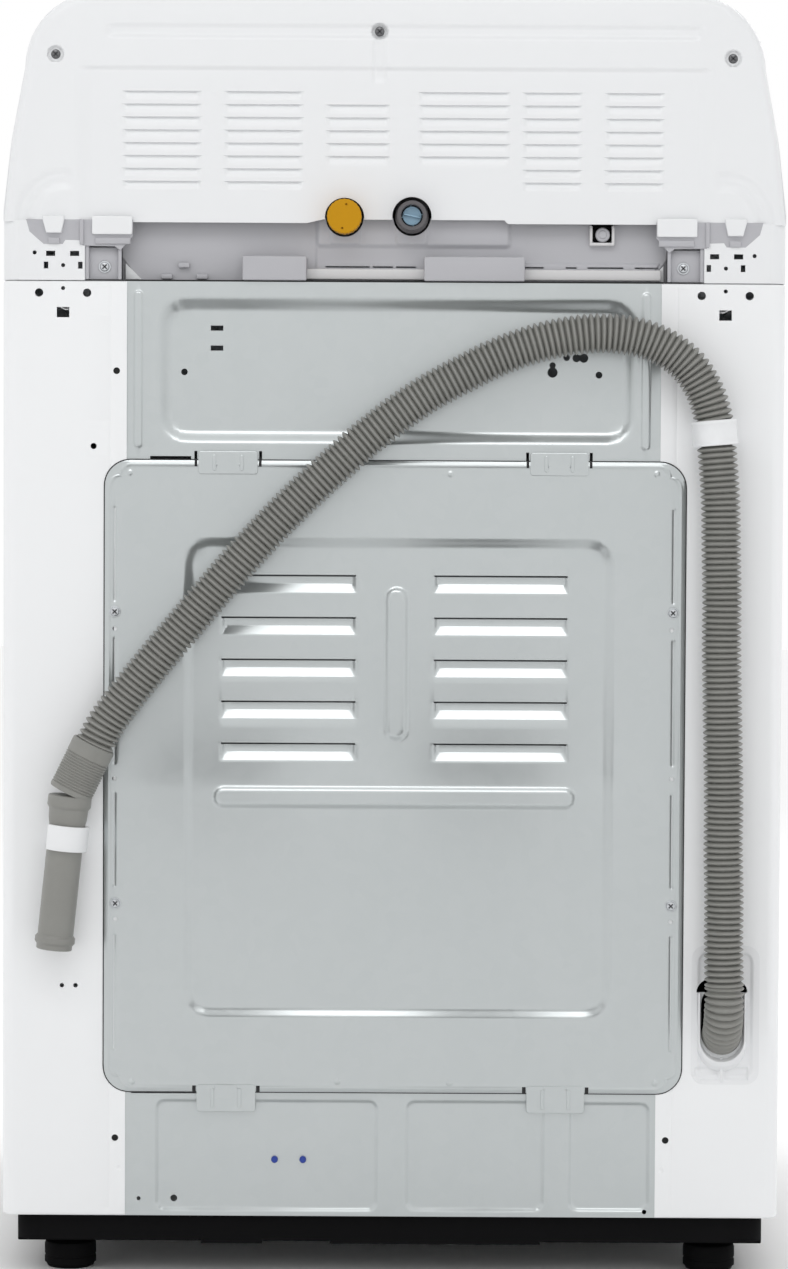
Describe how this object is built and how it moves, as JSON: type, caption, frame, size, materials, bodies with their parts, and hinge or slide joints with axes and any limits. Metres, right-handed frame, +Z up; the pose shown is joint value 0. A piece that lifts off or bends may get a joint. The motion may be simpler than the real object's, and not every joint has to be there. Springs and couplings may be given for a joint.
{
  "type": "top load washing machine",
  "caption": "Top load washing machine with a hinged glass lid, raked rear control console, spinning basket and wash plate, levelling feet and a clipped drain hose.",
  "frame": {"origin": "on the floor under the centre of the machine, the drain hose left out", "axes": "+Z up, front towards -Y, rear face towards +Y, X across"},
  "size_m": [0.686, 0.7199, 1.13],
  "materials": {
    "white_steel": "smooth powder coat",
    "white_plastic": "satin moulded",
    "grey_plastic": "fine moulded texture",
    "galvanised_steel": "zinc coated sheet",
    "black_plastic": "moulded",
    "smoked_glass": "tempered, tinted",
    "panel_gloss": "gloss overlay",
    "silver_trim": "silver satin",
    "hose_plastic": "corrugated, satin",
    "dark_rubber": "matt",
    "stainless_steel": "brushed",
    "zinc_steel": "zinc plated",
    "amber_plastic": "moulded",
    "filter_plastic": "fine mesh",
    "dark_plastic": "moulded",
    "tub_plastic": "moulded",
    "plate_plastic": "moulded",
    "board": "solder mask",
    "winding": "enamelled wire",
    "cast_aluminium": "die cast"
  },
  "bodies": {
    "machine": {"base_frame": "black_plastic", "cabinet": "white_steel", "rear_top_brace": "galvanised_steel", "rear_bottom_brace": "galvanised_steel", "rear_cover": "galvanised_steel", "rear_cover_screws": "zinc_steel", "top_cover": "white_plastic", "rear_shelf": "grey_plastic", "top_cover_screws": "zinc_steel", "console_housing": "white_plastic", "console_rear_cover": "white_plastic", "console_screws": "zinc_steel", "control_panel": "panel_gloss", "display_window": "smoked_glass", "control_board": "board", "lid_lock": "dark_plastic", "dispenser_housing": "tub_plastic", "hot_inlet_valve": "dark_plastic", "cold_inlet_valve": "dark_plastic", "cold_inlet_filter": "filter_plastic", "fill_hose": "dark_rubber", "cord_gland": "black_plastic", "outer_tub": "tub_plastic", "tub_cover": "tub_plastic", "bearing_housing": "cast_aluminium", "tub_bearings": "zinc_steel", "tub_seal": "dark_rubber", "motor_stator": "winding", "suspension_rods": "zinc_steel", "suspension_springs": "zinc_steel", "suspension_hangers": "galvanised_steel", "drain_pump": "tub_plastic", "pump_hoses": "dark_rubber", "drain_outlet": "white_plastic", "drain_hose": "hose_plastic", "drain_hose_fittings": "hose_plastic", "hose_clips": "white_plastic"},
    "lid": {"lid_frame": "white_plastic", "lid_glass": "smoked_glass", "lid_hinge_pins": "zinc_steel", "lid_strike": "white_plastic"},
    "basket": {"wash_basket": "stainless_steel", "balance_ring": "plate_plastic", "basket_hub": "cast_aluminium", "spin_shaft": "zinc_steel"},
    "plate_drive": {"wash_plate": "plate_plastic", "wash_plate_shaft": "zinc_steel", "motor_rotor": "zinc_steel"},
    "knob": {"control_knob": "silver_trim"},
    "power_key": {"power_button": "silver_trim"},
    "start_key": {"start_button": "silver_trim"},
    "soil_key": {"soil_button": "silver_trim"},
    "spin_key": {"spin_button": "silver_trim"},
    "drawer": {"detergent_drawer": "white_plastic"},
    "pump_rotor": {"pump_impeller": "filter_plastic"},
    "hot_cap": {"hot_inlet_cap": "amber_plastic"},
    "foot_fl": {"foot_front_left": "black_plastic"},
    "foot_fr": {"foot_front_right": "black_plastic"},
    "foot_rl": {"foot_rear_left": "black_plastic"},
    "foot_rr": {"foot_rear_right": "black_plastic"}
  },
  "joints": [
    {"name": "lid_hinge", "type": "hinge", "parent": "machine", "child": "lid", "pos_m": [0, 0.12833, 0.97948], "axis": [-1, 0, 0], "range_deg": [0, 100]},
    {"name": "basket_spin", "type": "hinge", "parent": "machine", "child": "basket", "pos_m": [0, -0.012, 0.5], "axis": [0, 0, 1], "continuous": true},
    {"name": "wash_plate_turn", "type": "hinge", "parent": "basket", "child": "plate_drive", "pos_m": [0, -0.012, 0.3], "axis": [0, 0, 1], "continuous": true},
    {"name": "knob_turn", "type": "hinge", "parent": "machine", "child": "knob", "pos_m": [0, 0.192, 1.0485], "axis": [0, -0.8816, 0.472], "continuous": true},
    {"name": "power_press", "type": "slide", "parent": "machine", "child": "power_key", "axis": [0, 0.8816, -0.472], "range_m": [0, 0.0018], "stiffness_N_per_m": 400},
    {"name": "start_press", "type": "slide", "parent": "machine", "child": "start_key", "axis": [0, 0.8816, -0.472], "range_m": [0, 0.0018], "stiffness_N_per_m": 400},
    {"name": "soil_press", "type": "slide", "parent": "machine", "child": "soil_key", "axis": [0, 0.8816, -0.472], "range_m": [0, 0.0018], "stiffness_N_per_m": 400},
    {"name": "spin_press", "type": "slide", "parent": "machine", "child": "spin_key", "axis": [0, 0.8816, -0.472], "range_m": [0, 0.0018], "stiffness_N_per_m": 400},
    {"name": "drawer_slide", "type": "slide", "parent": "machine", "child": "drawer", "axis": [0, -1, 0], "range_m": [0, 0.12]},
    {"name": "pump_spin", "type": "hinge", "parent": "machine", "child": "pump_rotor", "pos_m": [-0.286, 0.215, 0.1], "axis": [0, 0, 1], "continuous": true},
    {"name": "hot_cap_pull", "type": "slide", "parent": "machine", "child": "hot_cap", "axis": [0, 1, 0], "range_m": [0, 0.03]},
    {"name": "foot_front_left_level", "type": "slide", "parent": "machine", "child": "foot_fl", "axis": [0, 0, -1], "range_m": [0, 0.012]},
    {"name": "foot_front_right_level", "type": "slide", "parent": "machine", "child": "foot_fr", "axis": [0, 0, -1], "range_m": [0, 0.012]},
    {"name": "foot_rear_left_level", "type": "slide", "parent": "machine", "child": "foot_rl", "axis": [0, 0, -1], "range_m": [0, 0.012]},
    {"name": "foot_rear_right_level", "type": "slide", "parent": "machine", "child": "foot_rr", "axis": [0, 0, -1], "range_m": [0, 0.012]}
  ]
}
